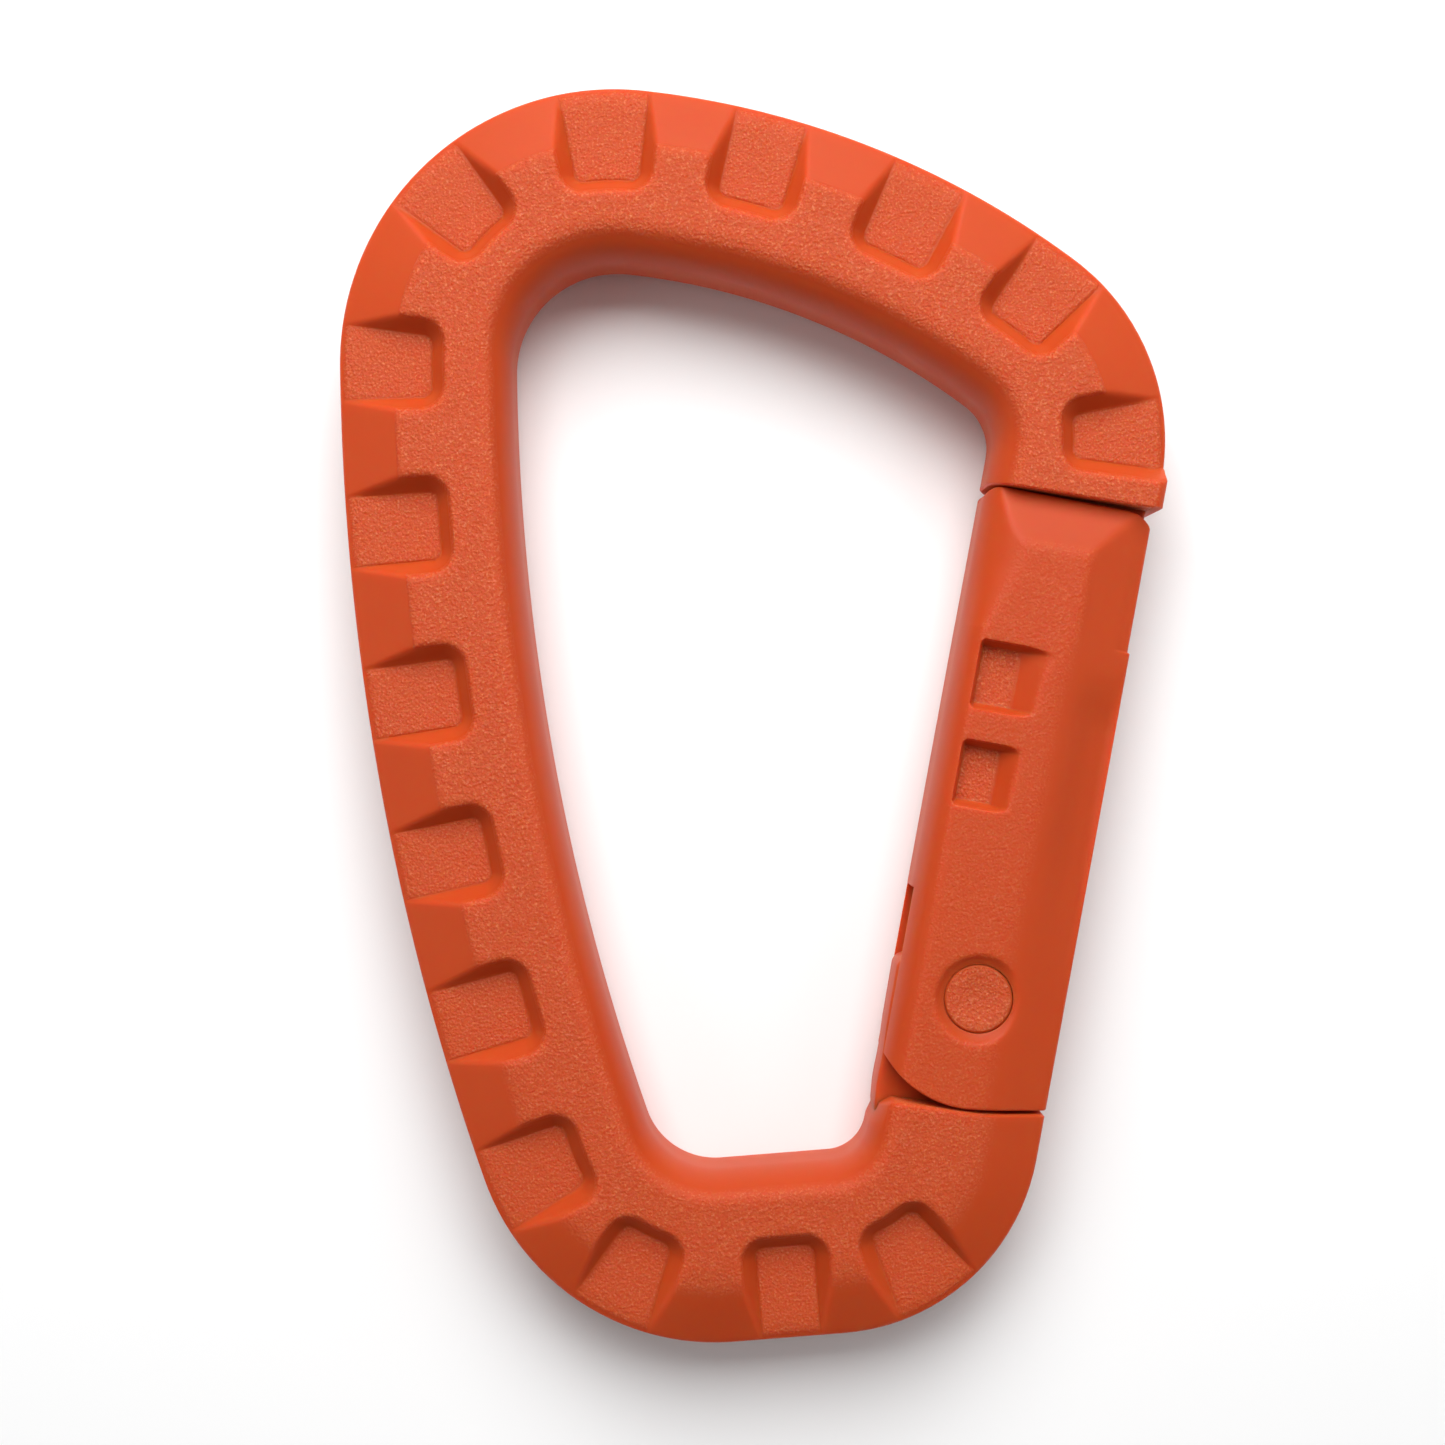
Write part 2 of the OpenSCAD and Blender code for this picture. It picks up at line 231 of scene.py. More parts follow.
def bar_profile(flat_in, blend, flange, top_n, flat_rows, flank_rows):
    """Upper half of the bar's section for each distance along it, as (n, z) rows: the outer edge's wall
    and round, the sloping bevel and the flat (the lower of the two planes, with a soft corner), then a
    quarter ellipse for the inner flank. flat_in is where the flat ends, blend how soft the corner between
    bevel and flat is; flange is 1 where the bevel is built up to a lip. The last three place the rows: n
    over the bevel and the flat's start, shares of the rest of the flat, and angles round the flank."""
    half_rows = len(outer_n) + len(top_n) + len(flat_rows) + len(flank_rows) + 2
    n = np.zeros((len(flat_in), half_rows))
    z = np.zeros((len(flat_in), half_rows))
    k = len(outer_n)
    lip = flange[:, None]
    lip_turn = np.linspace(0, math.pi / 2, 6)
    lip_n = np.concatenate([np.full(4, half_w), half_w - lip_round + lip_round * np.cos(lip_turn)])
    lip_z = np.concatenate([[0.0, 1.4, 2.8, 3.6], lip_top - lip_round + lip_round * np.sin(lip_turn)])
    n[:, :k] = (1 - lip) * outer_n + lip * lip_n
    z[:, :k] = (1 - lip) * outer_z + lip * lip_z
    n[:, k:k + len(top_n)] = top_n - lip * np.clip(top_n - 4.0, 0, 1.3) * 0.15
    k += len(top_n)
    n[:, k:k + len(flat_rows)] = top_n[-1] + (flat_in[:, None] - top_n[-1]) * flat_rows
    k += len(flat_rows)
    top = n[:, len(outer_n):k]
    bevel = bevel_at[1] + (bevel_at[0] - top) * bevel_slope
    plateau = np.full_like(bevel, half_t)
    lip_face = soft_min(plateau, lip_top + 0.02 * (5.3 - top), 0.06)
    z[:, len(outer_n):k] = (1 - lip) * soft_min(bevel, plateau, blend[:, None]) + lip * lip_face
    flank_w = half_w + flat_in[:, None]
    n[:, k:k + len(flank_rows)] = flat_in[:, None] - flank_w * np.sin(flank_rows)
    z[:, k:k + len(flank_rows)] = inner_land + (half_t - inner_land) * np.cos(flank_rows)
    k += len(flank_rows)
    n[:, k:] = -half_w
    z[:, k:] = [inner_land / 2, 0.0]
    return n, z


def pocket_field(s, n, turned):
    """Signed distance to the nearest pocket's floor, in mm: a rounded rectangle in the bar's own (s, n)
    coordinates, open towards the outer edge. A step along the bar is as long as the step of s plus n times
    the angle turned, so that walls stay even round the bends. Negative is over the floor."""
    best = np.full(np.broadcast(s, n).shape, 1e3)
    for at, width in pockets:
        first, last = at - width / 2, at + width / 2
        first_turn, last_turn = np.interp([first, last], s[:, 0], turned[:, 0])
        before = first - s + n * (turned - first_turn)
        after = s - last + n * (last_turn - turned)
        aside = np.maximum(before, after) + pocket_corner
        inward = pocket_inner - n + pocket_corner
        outside = np.hypot(np.maximum(aside, 0), np.maximum(inward, 0))
        best = np.minimum(best, outside + np.minimum(np.maximum(aside, inward), 0) - pocket_corner)
    return best


def dense_samples(first, last, count, spots, spacing, fine):
    """Places from first to last, packed closer round each spot (centre, half width): the sampling density
    is 1/spacing, plus 1/fine inside the spots, and the places are equal steps of its running total."""
    grid = np.linspace(first, last, 20001)
    density = np.full(grid.shape, 1 / spacing)
    for centre, reach in spots:
        density += (1 / fine) * np.exp(-((grid - centre) / reach) ** 4)
    total = np.concatenate([[0], np.cumsum((density[1:] + density[:-1]) / 2)])
    return np.interp(np.linspace(0, total[-1], count), total, grid)


def mesh_from(name, verts, faces, attributes=None, smooth_angle=38):
    """Mesh object from vertices in mm and faces, with its point attributes, smooth but for sharp edges."""
    mesh = bpy.data.meshes.new(name)
    mesh.from_pydata((np.asarray(verts) * MM).tolist(), [], faces)
    mesh.validate()
    for key, values in (attributes or {}).items():
        layer = mesh.attributes.new(key, "FLOAT", "POINT")
        layer.data.foreach_set("value", np.asarray(values, np.float32))
    mesh.polygons.foreach_set("use_smooth", [True] * len(mesh.polygons))
    mesh.set_sharp_from_angle(angle=math.radians(smooth_angle))
    piece = bpy.data.objects.new(name, mesh)
    bpy.context.scene.collection.objects.link(piece)
    return piece


def loft_faces(rings, around):
    """Quads between neighbouring rings of a closed loft."""
    i, j = np.meshgrid(np.arange(rings - 1), np.arange(around), indexing="ij")
    k = (j + 1) % around
    quads = np.stack([i * around + j, i * around + k, (i + 1) * around + k, (i + 1) * around + j], -1)
    return quads.reshape(-1, 4).tolist()


def end_strip(ring, around, flip):
    """Quads that close a loft's end, straight across from each upper row to the lower row below it."""
    faces = []
    for j in range(around // 2):
        upper, upper_next = j, j + 1
        lower, lower_next = (around - j) % around, around - j - 1
        corners = [upper, upper_next, lower_next, lower]
        corners = [c for i, c in enumerate(corners) if c not in corners[:i]]
        faces.append([ring * around + c for c in (corners[::-1] if flip else corners)])
    return faces


def full_ring(upper_n, upper_z):
    """Whole section from its upper half: the rows again, mirrored below the parting line."""
    whole_n = np.concatenate([upper_n, upper_n[:, -2:0:-1]], 1)
    whole_z = np.concatenate([upper_z, -upper_z[:, -2:0:-1]], 1)
    return whole_n, whole_z


# How soft the pockets' rims and the feet of their walls are, how much further out the lip at the nose
# stands, and how much narrower the bar is where its inner flank runs into the foot blade
rim_soft = 0.45
foot_soft = 0.1
lip_reach = 0.15
root_narrower = 0.35

# Distances along the bar, closer together over the pockets' walls and towards the two ends
wall_spots = [(at + side * (w / 2 + 0.45), 0.75) for at, w in pockets for side in (-1, 1)]
wall_spots += [(0.15, 0.3), (bar_len - 0.15, 0.3)]
s_rows = dense_samples(0, bar_len, 590, wall_spots, 0.75, 0.19)
flank_at = np.interp(
    s_rows,
    [0, starts[3], starts[4], starts[5], starts[5] + 8, starts[7], bar_len],
    [1.9, 1.9, 2.0, 2.0, 2.7, 2.7, 2.4],
)
corner_blend = np.interp(s_rows, [0, starts[4], starts[4] + 15, starts[5]], [0.8, 0.7, 0.2, 0.12])
line, outward, bar_turned = centre_line(s_rows)
flange = step_up(s_rows, flange_from - 0.08, flange_from + 0.06)
section_n, section_z = bar_profile(
    flank_at - half_w, corner_blend, flange, top_n, flat_rows, flank_rows)
lip_more = step_up(s_rows, flange_from + 0.2, flange_from + 0.6)[:, None]
section_n += lip_reach * lip_more * step_up(section_n, 3.5, 5)
section_n += root_narrower * (1 - step_up(s_rows, 0, 2.4))[:, None] * step_up(-section_n, 4.6, half_w)
flat_top = section_z.copy()
floor_gap = pocket_field(s_rows[:, None], section_n, bar_turned[:, None])
rise = 0.5 * (floor_gap + np.sqrt(floor_gap ** 2 + foot_soft ** 2))
rise -= 0.5 * foot_soft * np.exp(-np.maximum(-floor_gap, 0) * 9)
pocket_z = half_t - pocket_depth + wall_slope * np.maximum(rise, 0)
section_z = np.minimum(section_z, soft_min(section_z, pocket_z, rim_soft))

# Grain stands on the flats and on the pockets' floors; bevels, flanks and pocket walls are smooth
on_floor = step_up(-floor_gap, -0.02, 0.12) * step_up(flat_top, 3.12, 3.24)
flat_edge = np.where(section_n < 0, 0.5, 0.04 + 0.55 * corner_blend[:, None])
on_flat = step_up(flat_top, half_t - flat_edge, half_t - 0.3 * flat_edge) * step_up(floor_gap, 0.85, 1.1)
# The grain is 0.7 strong from the shoulder round the foot and rises to full along the back bow, so its
# paler colour is a painted sheen, brighter towards the top of the loop where the light falls
bar_grain_and_sheen = np.maximum(on_floor, on_flat) * np.interp(s_rows, [starts[4], starts[5]], [0.7, 1.0])[:, None]


def end_inset(gap, radius):
    """How far a rounded end draws in at this distance from its tip: a quarter circle of that radius."""
    return radius - np.sqrt(np.maximum(radius ** 2 - np.maximum(radius - gap, 0) ** 2, 0))


inset = end_inset(s_rows, 0.16) + end_inset(bar_len - s_rows, 0.12)
section_n = section_n * (1 - inset[:, None] / half_w)
section_z = section_z * (1 - inset[:, None] / half_t)


def shoulder_line(u):
    """Height v of the shoulder under the gate: drawn down where the foot blade runs into the bar, nearly
    level under the heel, then rising towards the outer side."""
    return np.interp(u, [-5.4, -4.4, 1.7, 5.6], [-8.5, -7.78, -7.52, -7.06])


ring_n, ring_z = full_ring(section_n, section_z)
bar_xy = line[:, None, :] + ring_n[..., None] * outward[:, None, :]
in_u = (bar_xy - pivot) @ axis_u
lift = np.clip(1 - s_rows / low_len, 0, 1)[:, None] * (shoulder_line(in_u) - shoulder_v)
bar_xy = bar_xy + lift[..., None] * axis_v
nose_slant = np.clip((s_rows - bar_len + high_len) / high_len, 0, 1)[:, None] * 0.02 * in_u
bar_xy = bar_xy + nose_slant[..., None] * axis_v
bar_verts = np.concatenate([bar_xy, (ring_z + mid_z)[..., None]], -1).reshape(-1, 3)
around = ring_n.shape[1]
bar_faces = loft_faces(len(s_rows), around)
bar_faces += end_strip(0, around, True) + end_strip(len(s_rows) - 1, around, False)
bar_mask = np.concatenate([bar_grain_and_sheen, bar_grain_and_sheen[:, -2:0:-1]], 1).reshape(-1)


def rounded_outline(corners, radius, steps=6):
    """Closed outline in the gate's axes: each corner of the polygon becomes an arc of that radius."""
    corners = np.array(corners, float)
    points = []
    for i, corner in enumerate(corners):
        back = corners[i - 1] - corner
        ahead = corners[(i + 1) % len(corners)] - corner
        reach = min(radius, 0.45 * np.linalg.norm(back), 0.45 * np.linalg.norm(ahead))
        a = corner + back / np.linalg.norm(back) * reach
        b = corner + ahead / np.linalg.norm(ahead) * reach
        t = np.linspace(0, 1, steps)[:, None]
        points.append((1 - t) ** 2 * a + 2 * t * (1 - t) * corner + t ** 2 * b)
    return np.concatenate(points)


def gate_plate(outline, z_low, z_high, ease):
    """Flat plate over an outline in the gate's axes: walls between z_low and z_high, with edges eased by
    pulling the outline in towards its own normals. Returns vertices in mm and faces."""
    behind = np.roll(outline, 1, 0)
    tangent = np.roll(outline, -1, 0) - behind
    tangent /= np.linalg.norm(tangent, axis=1)[:, None]
    inwards = np.stack([-tangent[:, 1], tangent[:, 0]], -1)
    turns = np.linspace(0, math.pi / 2, 4)
    levels = [(z_low + ease * (1 - math.cos(t)), ease * (1 - math.sin(t))) for t in turns]
    levels += [(z_high - ease * (1 - math.cos(t)), ease * (1 - math.sin(t))) for t in turns[::-1]]
    rings = []
    for z, pull in levels:
        uv = outline + inwards * pull
        xy = pivot + uv[:, :1] * axis_u + uv[:, 1:] * axis_v
        rings.append(np.concatenate([xy, np.full((len(xy), 1), mid_z + z)], 1))
    count = len(outline)
    faces = loft_faces(len(rings), count)
    faces.append(list(range(count))[::-1])
    faces.append([(len(rings) - 1) * count + i for i in range(count)])
    return np.concatenate(rings), faces


blade_half = 2.2
pin_r = 2.3
foot_outline = rounded_outline([
    (3.6, -9.3), (3.6, 0.6), (2.6, 2.5), (0.6, 3.5), (-1.6, 3.3), (-1.9, 3.66), (-5.1, 3.32), (-4.6, 1.9),
    (-5.6, 1.35), (-5.55, -3.0), (-5.45, -5.2), (-5.5, -7.2), (-5.3, -9.3),
], 0.6)
nose_outline = rounded_outline([
    (5.5, 36.0), (-4.75, 36.0), (-4.75, 27.0), (-3.8, 26.1), (4.4, 26.1), (5.5, 27.2),
], 0.5)

frame_verts = [bar_verts]
frame_faces = list(bar_faces)
frame_mask = [bar_mask]
for outline in (foot_outline, nose_outline):
    verts, faces = gate_plate(outline, -blade_half, blade_half, 0.25)
    base = sum(len(v) for v in frame_verts)
    frame_verts.append(verts)
    frame_faces += [[base + i for i in f] for f in faces]
    frame_mask.append(np.zeros(len(verts)))
frame_piece = mesh_from(
    "frame_moulding", np.concatenate(frame_verts), frame_faces, {"grain": np.concatenate(frame_mask)})


def linear(hex_colour):
    """sRGB hex colour as linear RGBA."""
    parts = [int(hex_colour[i:i + 2], 16) / 255 for i in (1, 3, 5)]
    return [c / 12.92 if c <= 0.04045 else ((c + 0.055) / 1.055) ** 2.4 for c in parts] + [1.0]


def add_node(tree, kind, settings=None, links=None):
    """Adds a node, sets its properties and sockets by name, and links its inputs from other outputs."""
    node = tree.nodes.new(kind)
    for key, value in (settings or {}).items():
        if isinstance(key, str) and hasattr(node, key):
            setattr(node, key, value)
        else:
            node.inputs[key].default_value = value
    for key, source in (links or {}).items():
        tree.links.new(source, node.inputs[key])
    return node


def moulded_acetal(name):
    """Pigmented acetal as moulded: satin where the tool was polished, and a spark-eroded grain, about
    0.2 mm from pit to pit, where the grain attribute is 1. The pigment is even; a little light gets in
    under the skin, so edges glow slightly. Grain is painted paler, a painted sheen for the light its
    pits scatter, with pale specks that are painted glints off the pits."""
    material = bpy.data.materials.new(name)
    material.use_nodes = True
    tree = material.node_tree
    tree.nodes.clear()
    place = add_node(tree, "ShaderNodeTexCoord").outputs["Object"]
    grain = add_node(tree, "ShaderNodeAttribute", {"attribute_name": "grain"}).outputs["Fac"]
    pits = add_node(tree, "ShaderNodeTexNoise", {"Scale": 6000.0, "Detail": 2.0, "Roughness": 0.5},
                    {"Vector": place})
    cells = add_node(tree, "ShaderNodeTexVoronoi", {"feature": "SMOOTH_F1", "Scale": 5400.0},
                     {"Vector": place})
    cloud = add_node(tree, "ShaderNodeTexNoise", {"Scale": 140.0, "Detail": 2.0}, {"Vector": place})
    satin = add_node(tree, "ShaderNodeTexNoise", {"Scale": 1500.0, "Detail": 3.0}, {"Vector": place})
    relief = add_node(tree, "ShaderNodeMath", {"operation": "ADD"},
                      {0: pits.outputs["Fac"], 1: cells.outputs["Distance"]})
    deep = add_node(tree, "ShaderNodeMath", {"operation": "MULTIPLY"}, {0: relief.outputs[0], 1: grain})
    skin = add_node(tree, "ShaderNodeMath", {"operation": "MULTIPLY", 1: 0.05}, {0: satin.outputs["Fac"]})
    height = add_node(tree, "ShaderNodeMath", {"operation": "ADD"},
                      {0: deep.outputs[0], 1: skin.outputs[0]})
    bump = add_node(tree, "ShaderNodeBump", {"Strength": 0.9, "Distance": 0.00012},
                    {"Height": height.outputs[0]})
    smooth_colour = add_node(tree, "ShaderNodeMix", {"data_type": "RGBA"},
                             {"Factor": cloud.outputs["Fac"]})
    smooth_colour.inputs[6].default_value = linear("#BB4419")
    smooth_colour.inputs[7].default_value = linear("#C14A1C")
    # Pale specks on the grain: painted glints off the tops of its pits
    speck_glint = add_node(tree, "ShaderNodeMapRange", {"From Min": 0.54, "From Max": 0.72},
                     {"Value": pits.outputs["Fac"]})
    # Grain colour painted paler than the smooth skin: a painted sheen for the light its pits scatter
    grain_sheen_colour = add_node(tree, "ShaderNodeMix", {"data_type": "RGBA"}, {"Factor": speck_glint.outputs[0]})
    grain_sheen_colour.inputs[6].default_value = linear("#C4522A")
    grain_sheen_colour.inputs[7].default_value = linear("#D5774E")
    colour = add_node(tree, "ShaderNodeMix", {"data_type": "RGBA"}, {"Factor": grain})
    tree.links.new(smooth_colour.outputs[2], colour.inputs[6])
    tree.links.new(grain_sheen_colour.outputs[2], colour.inputs[7])
    rough = add_node(tree, "ShaderNodeMapRange", {"To Min": 0.48, "To Max": 0.55}, {"Value": grain})
    shader = add_node(tree, "ShaderNodeBsdfPrincipled", {
        "IOR": 1.48, "Specular IOR Level": 0.2, "Subsurface Weight": 0.9,
        "Subsurface Radius": (1.0, 0.22, 0.06), "Subsurface Scale": 0.0013,
    }, {"Base Color": colour.outputs[2], "Roughness": rough.outputs[0], "Normal": bump.outputs[0]})
    output = add_node(tree, "ShaderNodeOutputMaterial")
    tree.links.new(shader.outputs[0], output.inputs["Surface"])
    return material


acetal = moulded_acetal("orange_acetal_moulded")
frame_piece.data.materials.append(acetal)
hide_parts("frame")
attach(frame_piece, "frame")

# ---------------------------------------------------------------------------------------------
# Gate moulding: a hollow acetal lever that turns on the pivot pin. Its skin follows the bar's section,
# two windows and a dish are moulded into each face, and it is open where the nose and foot blade enter.
# ---------------------------------------------------------------------------------------------
gate_top = 34.0
nose_room_narrower = 0.17
heel_r = 7.4
heel_u = 0.9
heel_low = -7.345
heel_rise = 0.105
cavity_half = 2.5
gate_in = bar_u - half_w
gate_out = bar_u + half_w
window_floor = half_t - 1.4
window_in = -3.88
window_out = -1.55
windows = [(13.0, 16.6, 1.28), (19.6, 23.4, 0.86)]
dish_depth = 0.5
scoop_depth = 0.5


def heel_line(u):
    """Lower end of the gate: an arc about the pivot, then a straight run to the outer side."""
    arc = -np.sqrt(np.maximum(heel_r ** 2 - np.minimum(u, heel_u) ** 2, 0))
    return np.where(u < heel_u, arc, heel_low + (u - heel_u) * heel_rise)


def top_line(u):
    """Upper end of the gate: nearly level, with a small round inside and a larger one outside."""
    inner = np.clip((gate_in + 0.9 - u) / 0.9, 0, 1)
    outer = np.clip((u - gate_out + 1.9) / 1.9, 0, 1)
    rounds = 0.8 * (1 - np.sqrt(1 - inner ** 2)) + 1.45 * (1 - np.sqrt(1 - outer ** 2))
    return gate_top + 0.2 - 0.01 * u - rounds


def window_height(u, v):
    """Height of the skin over the two windows: the highest of the floor and the four sloping sides."""
    height = np.full(u.shape, 99.0)
    for low, high, steep in windows:
        across = np.maximum((window_in - u) * 4.0, (u - window_out) * (steep - 0.045 * (v - low)))
        along = np.maximum((v - high) * 3.0, (low - v) * 3.2)
        inside = np.minimum(np.maximum(across, along), 0)
        edge = np.hypot(np.maximum(across, 0), np.maximum(along, 0)) + inside
        height = np.minimum(height, window_floor + 0.5 * (edge + np.sqrt(edge ** 2 + 0.12 ** 2)))
    return height


def dish_height(u, v):
    """Height of the shallow dish round the pin: a bowl that meets the flat at the dish's radius."""
    from_pin = np.hypot(u, v)
    return half_t - dish_depth + 0.5 * np.clip((from_pin - pin_r) / 0.72, 0, 3) ** 1.3


def scoop(u, v):
    """Depth of the long shallow thumb scoop in the outer bevel: it starts steeply below the nose room, is
    deepest near the windows and runs out slowly towards the heel."""
    return scoop_depth * step_up(-v, -23.6, -19.0) * step_up(v, -4.0, 17.0) * step_up(u, 1.9, 4.6)


# Rows up the gate, closer together at the windows' ends, round the pin, at the nose room's foot, where the
# end bevel starts and at both ends
bevel_from = 30.6
row_spots = [
    (12.7, 0.5), (16.8, 0.5), (19.3, 0.5), (23.7, 0.5), (0, 3.6), (24.75, 0.25), (-8.8, 0.4),
    (gate_top - 0.2, 0.4), (bevel_from, 0.6),
]
v_rows = dense_samples(-9, gate_top, 330, row_spots, 0.42, 0.13)
gate_top_n = np.concatenate([np.linspace(5.3, 2.6, 11), np.linspace(2.4, -1.5, 21)])
gate_flat_rows = 1 - (1 - np.linspace(0.06, 1.0, 16)) ** 1.35
gate_flank_rows = np.radians(90 * np.linspace(0.03, 1, 22) ** 1.5)
gate_flat_in = np.interp(v_rows, [-9, 3, 11, 24.6, 29, 34], [-3.7, -3.7, -3.9, -3.9, -2.1, -1.4]) - bar_u
gate_blend = 0.12 + 0.5 * step_up(-v_rows, -27, -20)
gate_n, gate_z = bar_profile(
    gate_flat_in, gate_blend, np.zeros(len(v_rows)), gate_top_n, gate_flat_rows, gate_flank_rows)
gate_n -= nose_room_narrower * step_up(v_rows, 24.7, 24.8)[:, None] * step_up(gate_n, 4.6, 5.3)
gate_u = gate_n + bar_u
toward_heel = np.clip((2.5 - v_rows[:, None]) / 11.5, 0, 1)
toward_top = np.clip((v_rows[:, None] - 30.0) / (gate_top - 30.0), 0, 1)
gate_v = v_rows[:, None] + toward_heel * (heel_line(gate_u) - v_rows[0])
gate_v += toward_top * (top_line(gate_u) - gate_top)
gate_skin = gate_z.copy()
end_bevel = half_t - 0.36 * (gate_v - bevel_from)
gate_z = np.minimum(gate_z, soft_min(gate_z, end_bevel, 0.15))
gate_z = np.where(gate_skin > 2.9, gate_z - scoop(gate_u, gate_v) * step_up(gate_skin, 2.9, 3.3), gate_z)
window_z = window_height(gate_u, gate_v)
dish_z = dish_height(gate_u, gate_v)
gate_z = np.minimum(gate_z, soft_min(gate_z, window_z, 0.22))
gate_z = np.minimum(gate_z, soft_min(gate_z, dish_z, 0.2))
gate_grain = np.maximum(
    0.4 * step_up(gate_z, half_t - 0.25, half_t - 0.03),
    step_up(window_floor + 0.14 - window_z, 0.0, 0.06) * (gate_skin > half_t - 0.5),
)
gate_inset = end_inset(v_rows - v_rows[0], 0.2) + end_inset(gate_top - v_rows, 0.1)
gate_n_in = (gate_u - bar_u) * (1 - gate_inset[:, None] / half_w) + bar_u
gate_z = gate_z * (1 - gate_inset[:, None] / half_t)
ring_u, ring_z = full_ring(gate_n_in, gate_z)
ring_v = np.concatenate([gate_v, gate_v[:, -2:0:-1]], 1)
ring_xy = pivot + ring_u[..., None] * axis_u + ring_v[..., None] * axis_v
gate_verts = np.concatenate([ring_xy, (ring_z + mid_z)[..., None]], -1).reshape(-1, 3)
gate_faces = [f[::-1] for f in loft_faces(len(v_rows), ring_u.shape[1])]
gate_faces += end_strip(0, ring_u.shape[1], False) + end_strip(len(v_rows) - 1, ring_u.shape[1], True)
gate_mask = np.concatenate([gate_grain, gate_grain[:, -2:0:-1]], 1).reshape(-1)
gate_piece = mesh_from("gate_moulding", gate_verts, gate_faces, {"grain": gate_mask})


def cut_away(piece, verts, faces):
    """Takes a closed cutter's volume out of the piece, and keeps the result as its mesh."""
    cutter = mesh_from("cutter", verts, faces)
    cut = piece.modifiers.new("cut", "BOOLEAN")
    cut.operation = "DIFFERENCE"
    cut.solver = "MANIFOLD"
    cut.object = cutter
    graph = bpy.context.evaluated_depsgraph_get()
    piece.data = bpy.data.meshes.new_from_object(piece.evaluated_get(graph))
    piece.modifiers.clear()
    bpy.data.objects.remove(cutter)


spring_room = rounded_outline([
    (-9, -10), (4.1, -10), (4.1, 22.4), (0.4, 22.4), (0.4, 13.8), (-5.0, 13.9), (-5.0, 6.5), (-9, 6.5),
], 0.3)
nose_room = rounded_outline([(-5.0, 37), (-5.0, 24.7), (9, 24.7), (9, 37)], 0.5)
bore_turn = np.linspace(0, turn, 90, endpoint=False)[:, None] + 0.01
bore = (pin_r + 0.04) * np.concatenate([np.cos(bore_turn), np.sin(bore_turn)], 1)
for outline, reach in ((bore, half_t + 1), (spring_room, cavity_half), (nose_room, cavity_half)):
    verts, faces = gate_plate(outline, -reach, reach, 0.05)
    cut_away(gate_piece, verts, faces)
gate_piece.data.set_sharp_from_angle(angle=math.radians(38))
gate_piece.data.materials.clear()
gate_piece.data.materials.append(acetal)
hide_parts("gate")
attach(gate_piece, "gate")

# ---------------------------------------------------------------------------------------------
# Pivot pin: a moulded acetal peg pressed through the foot blade. Its ends sit just below the gate's
# faces, keep the mould's grain, have a small round at the rim and are sunk a little in the middle.
# ---------------------------------------------------------------------------------------------
pin_half = 4.3
pin_ease = 0.14
pin_sink = 0.2


def revolved(name, radii, heights, steps=96):
    """Surface of revolution about the pivot: a profile of radii and heights carried round the axis."""
    angle = np.linspace(0, turn, steps, endpoint=False)
    ring = np.stack([np.cos(angle), np.sin(angle)], -1)
    rings = [
        np.concatenate([pivot + r * ring, np.full((steps, 1), mid_z + z)], 1)
        for r, z in zip(radii, heights)
    ]
    faces = loft_faces(len(rings), steps)
    low = len(rings) * steps
    verts = np.concatenate(rings + [[[*pivot, mid_z + heights[0]], [*pivot, mid_z + heights[-1]]]])
    faces += [[low, (i + 1) % steps, i] for i in range(steps)]
    last = (len(rings) - 1) * steps
    faces += [[low + 1, last + i, last + (i + 1) % steps] for i in range(steps)]
    on_face = np.hypot(*(verts[:, :2] - pivot).T) < pin_r - 0.12
    return mesh_from(name, verts, faces, {"grain": on_face.astype(float)})


ease_turn = np.linspace(0, math.pi / 2, 6)
rim_r = pin_r - pin_ease + pin_ease * np.sin(ease_turn)
rim_z = pin_half - pin_ease + pin_ease * np.cos(ease_turn)
face_r = np.linspace(0.01, pin_r - pin_ease - 0.05, 14)
face_z = pin_half - pin_sink * (0.5 + 0.5 * np.cos(math.pi * face_r / (pin_r - pin_ease)))
pin_radii = np.concatenate([face_r, rim_r, rim_r[::-1], face_r[::-1]])
pin_heights = np.concatenate([-face_z, -rim_z, rim_z[::-1], face_z[::-1]])
pin_piece = revolved("pivot_pin_moulding", pin_radii, pin_heights)
pin_piece.data.materials.append(acetal)
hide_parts("pivot_pin")
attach(pin_piece, "frame")

# ---------------------------------------------------------------------------------------------
# Closing spring: hard-drawn stainless wire coiled into a small compression spring. It stands on the
# foot blade's ledge inside the gate and pushes on the gate's seat.
# ---------------------------------------------------------------------------------------------
ledge = np.array([-3.5, 3.5])
seat = np.array([-2.7, 13.8])
wire_r = 0.25
wire_sides = 12
coil_r = 1.25
spring_turns = 8


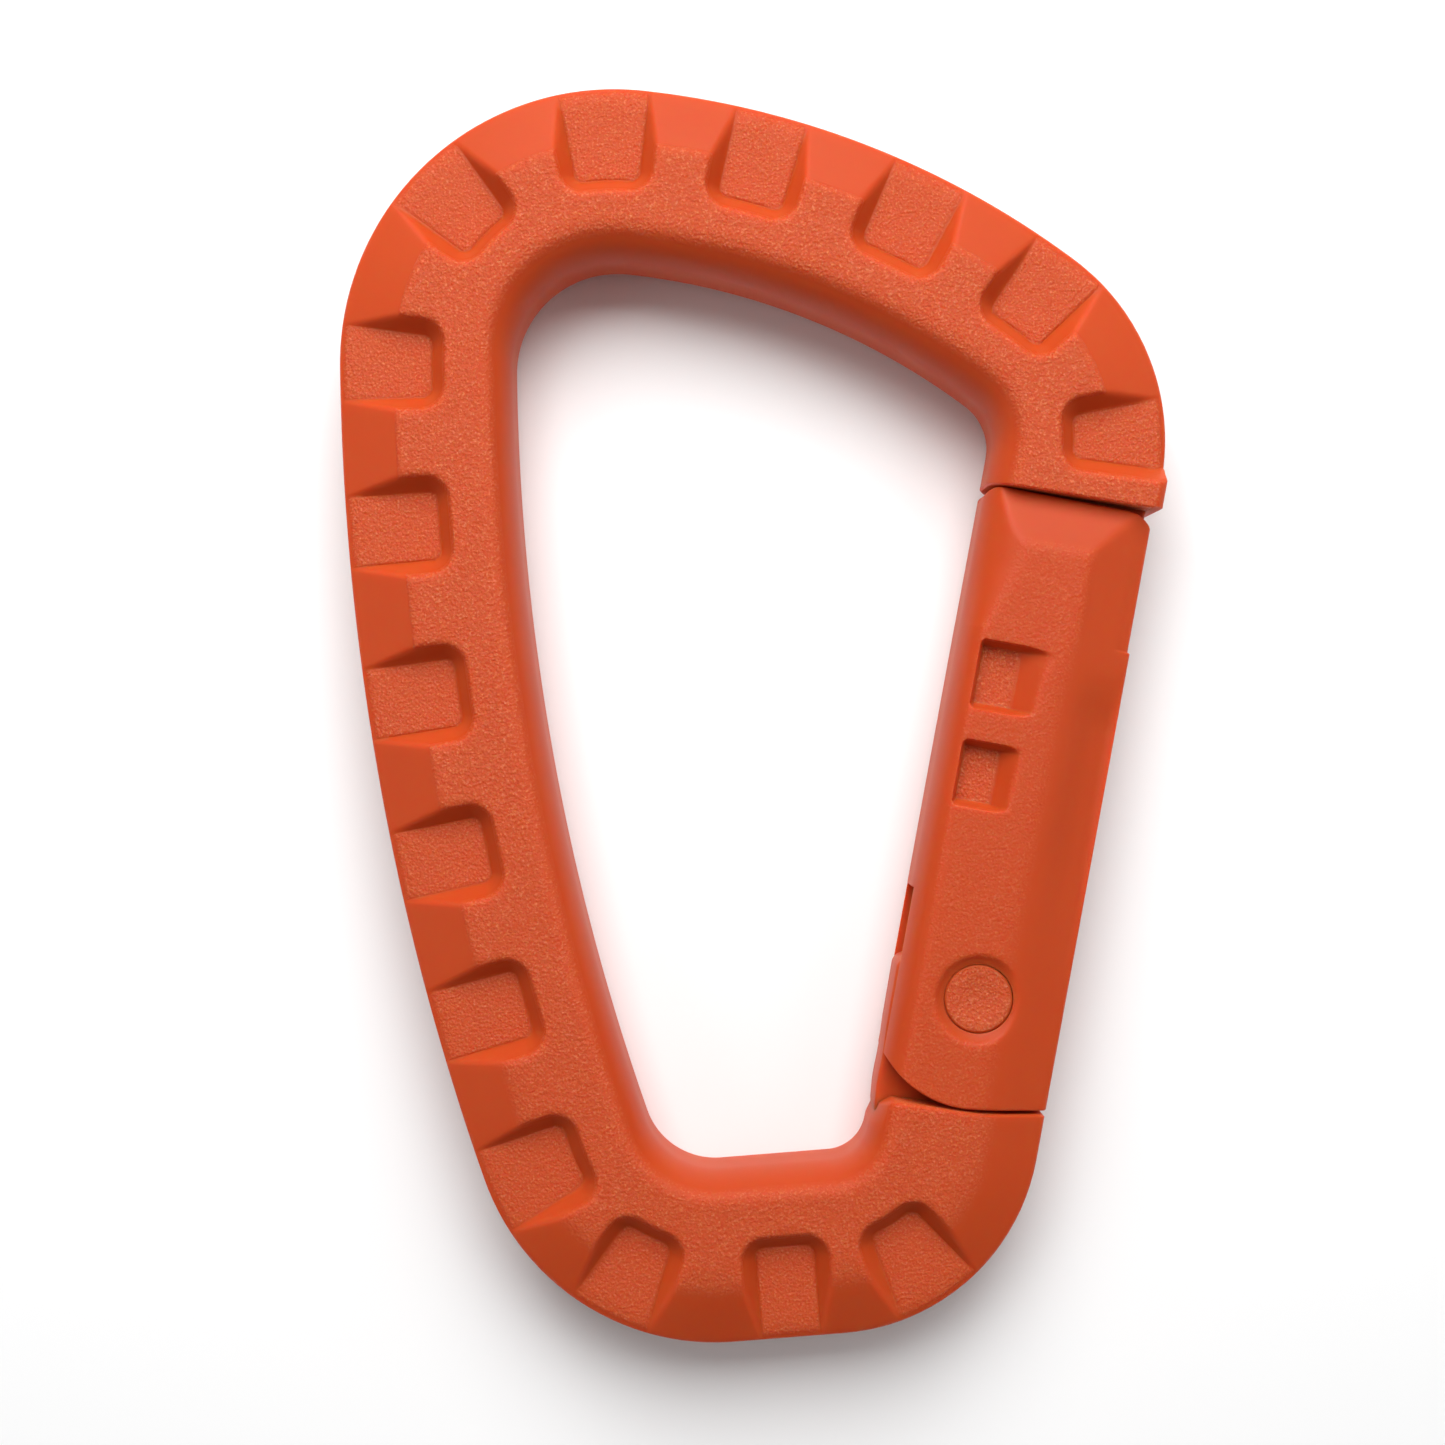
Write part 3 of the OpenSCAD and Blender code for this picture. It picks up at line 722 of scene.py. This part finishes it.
def coil_spring(name):
    """Helix of wire: a circle of wire radius carried round the spring's axis, with its pitch closing up
    over the first and last turn so that both ends sit flat."""
    length = np.linalg.norm(seat - ledge)
    spring_dir = (seat - ledge) / length
    t = np.linspace(0, 1, spring_turns * 40 + 1)
    pitch = 0.25 + step_up(t, 0.04, 0.16) * step_up(1 - t, 0.04, 0.16)
    run = np.concatenate([[0], np.cumsum((pitch[1:] + pitch[:-1]) / 2)])
    along = wire_r + 0.08 + (length - 2 * wire_r - 0.16) * run / run[-1]
    spin = turn * spring_turns * t
    across = np.array([spring_dir[1], -spring_dir[0]])
    b = np.linspace(0, turn, wire_sides, endpoint=False)
    reach = coil_r + wire_r * np.cos(b)[None, :]
    side = reach * np.cos(spin)[:, None]
    up = reach * np.sin(spin)[:, None]
    far = along[:, None] + wire_r * np.sin(b)[None, :]
    uv = ledge + far[..., None] * spring_dir + side[..., None] * across
    xy = pivot + uv[..., :1] * axis_u + uv[..., 1:] * axis_v
    verts = np.concatenate([xy, (up + mid_z)[..., None]], -1).reshape(-1, 3)
    faces = loft_faces(len(t), wire_sides)
    faces.append(list(range(wire_sides))[::-1])
    faces.append([(len(t) - 1) * wire_sides + i for i in range(wire_sides)])
    return mesh_from(name, verts, faces)


def drawn_steel(name):
    """Stainless spring wire: bright metal with faint draw marks, a fine noise in its roughness."""
    material = bpy.data.materials.new(name)
    material.use_nodes = True
    tree = material.node_tree
    tree.nodes.clear()
    place = add_node(tree, "ShaderNodeTexCoord").outputs["Object"]
    marks = add_node(tree, "ShaderNodeTexNoise", {"Scale": 5200.0, "Detail": 2.0}, {"Vector": place})
    rough = add_node(tree, "ShaderNodeMapRange", {"To Min": 0.22, "To Max": 0.38},
                     {"Value": marks.outputs["Fac"]})
    shader = add_node(tree, "ShaderNodeBsdfPrincipled", {"Base Color": linear("#C4C6C8"), "Metallic": 1.0},
                      {"Roughness": rough.outputs[0]})
    output = add_node(tree, "ShaderNodeOutputMaterial")
    tree.links.new(shader.outputs[0], output.inputs["Surface"])
    return material


spring_piece = coil_spring("closing_spring")
spring_piece.data.materials.append(drawn_steel("spring_steel_drawn"))
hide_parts("gate_spring")
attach(spring_piece, "gate")
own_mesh(spring_piece)

# ---------------------------------------------------------------------------------------------
# Setting: a pale floor that the keyring lies on, a large soft light from beyond its wide end, two
# fills, and a camera straight above.
# ---------------------------------------------------------------------------------------------
floor_half = 2.0
floor_z = -0.00005
floor_mesh = bpy.data.meshes.new("floor")
corner_signs = ((-1, -1), (1, -1), (1, 1), (-1, 1))
floor_corners = [(x * floor_half, y * floor_half, floor_z) for x, y in corner_signs]
floor_mesh.from_pydata(floor_corners, [], [(0, 1, 2, 3)])
floor = bpy.data.objects.new("floor", floor_mesh)
bpy.context.scene.collection.objects.link(floor)
paper = bpy.data.materials.new("pale_paper")
paper.use_nodes = True
paper_shader = paper.node_tree.nodes["Principled BSDF"]
paper_shader.inputs["Base Color"].default_value = linear("#F6F6F6")
paper_shader.inputs["Roughness"].default_value = 0.9
floor.data.materials.append(paper)


def soft_light(name, place, size, power, aim=(0.0, 0.0, 0.0)):
    """Square area light at place, in metres, turned to face the aim."""
    lamp = bpy.data.lights.new(name, "AREA")
    lamp.size = size
    lamp.energy = power
    light = bpy.data.objects.new(name, lamp)
    light.location = place
    direction = np.array(aim) - np.array(place)
    yaw = math.atan2(direction[1], direction[0]) - math.pi / 2
    tilt = math.acos(-direction[2] / np.linalg.norm(direction))
    light.rotation_euler = (tilt, 0, yaw)
    bpy.context.scene.collection.objects.link(light)


soft_light("key", (-0.01, 0.20, 0.25), 0.26, 1.5)
soft_light("fill_left", (-0.45, -0.05, 0.35), 0.35, 0.35)
soft_light("fill_right", (0.45, 0.10, 0.40), 0.40, 0.5)
world = bpy.data.worlds.new("studio")
world.use_nodes = True
world.node_tree.nodes["Background"].inputs["Color"].default_value = linear("#FFFFFF")
world.node_tree.nodes["Background"].inputs["Strength"].default_value = 0.2
bpy.context.scene.world = world
bpy.context.scene.view_settings.view_transform = "Standard"

view_width = 98.1
view_distance = 147.3
view_level = mid_z + 2.7
camera_data = bpy.data.cameras.new("camera")
camera_data.sensor_width = 36.0
camera_data.lens = camera_data.sensor_width * view_distance / view_width
camera = bpy.data.objects.new("camera", camera_data)
camera.location = (-2.14 * MM, -0.53 * MM, (view_level + view_distance) * MM)
bpy.context.scene.collection.objects.link(camera)
bpy.context.scene.camera = camera
